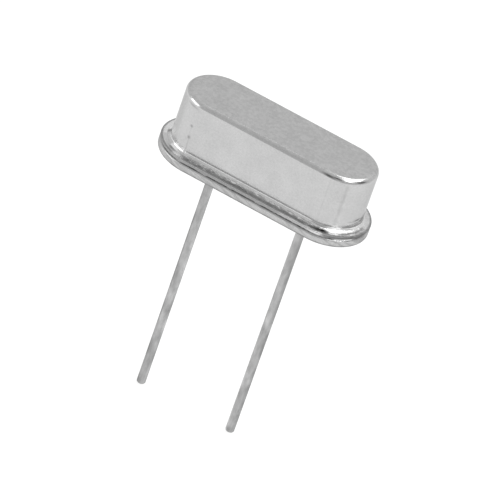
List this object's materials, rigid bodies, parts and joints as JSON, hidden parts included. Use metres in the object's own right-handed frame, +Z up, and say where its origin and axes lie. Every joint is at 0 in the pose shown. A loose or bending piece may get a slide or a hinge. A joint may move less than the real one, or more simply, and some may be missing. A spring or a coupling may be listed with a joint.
{
  "type": "crystal oscillator",
  "caption": "Timing crystal for a circuit board: low metal can with rounded ends, welded flange to flange on a base plate, with straight round leads through glass seals.",
  "frame": {"origin": "centre of the seating plane, which is the underside of the base plate, midway between the leads", "axes": "+Z up through the can's top, so the leads point along -Z; +X along the can from lead to lead; -Y is the side that faces the viewer"},
  "size_m": [0.0108, 0.0042, 0.0164],
  "materials": {
    "can_metal": "matt nickel silver, drawn",
    "base_metal": "satin nickel plate",
    "seal_glass": "dark fused glass",
    "tinned_wire": "dull dipped tin",
    "clip_metal": "spring strip, satin",
    "quartz": "fine ground quartz",
    "electrode_film": "evaporated silver",
    "silver_adhesive": "silver-filled adhesive, matt"
  },
  "bodies": {
    "root": {"can": "can_metal", "base": "base_metal", "glass_seal_left": "seal_glass", "glass_seal_right": "seal_glass", "lead_left": "tinned_wire", "lead_right": "tinned_wire", "clip_left": "clip_metal", "clip_right": "clip_metal", "quartz_blank": "quartz", "electrode_top": "electrode_film", "electrode_bottom": "electrode_film", "adhesive_left": "silver_adhesive", "adhesive_right": "silver_adhesive"}
  },
  "joints": []
}
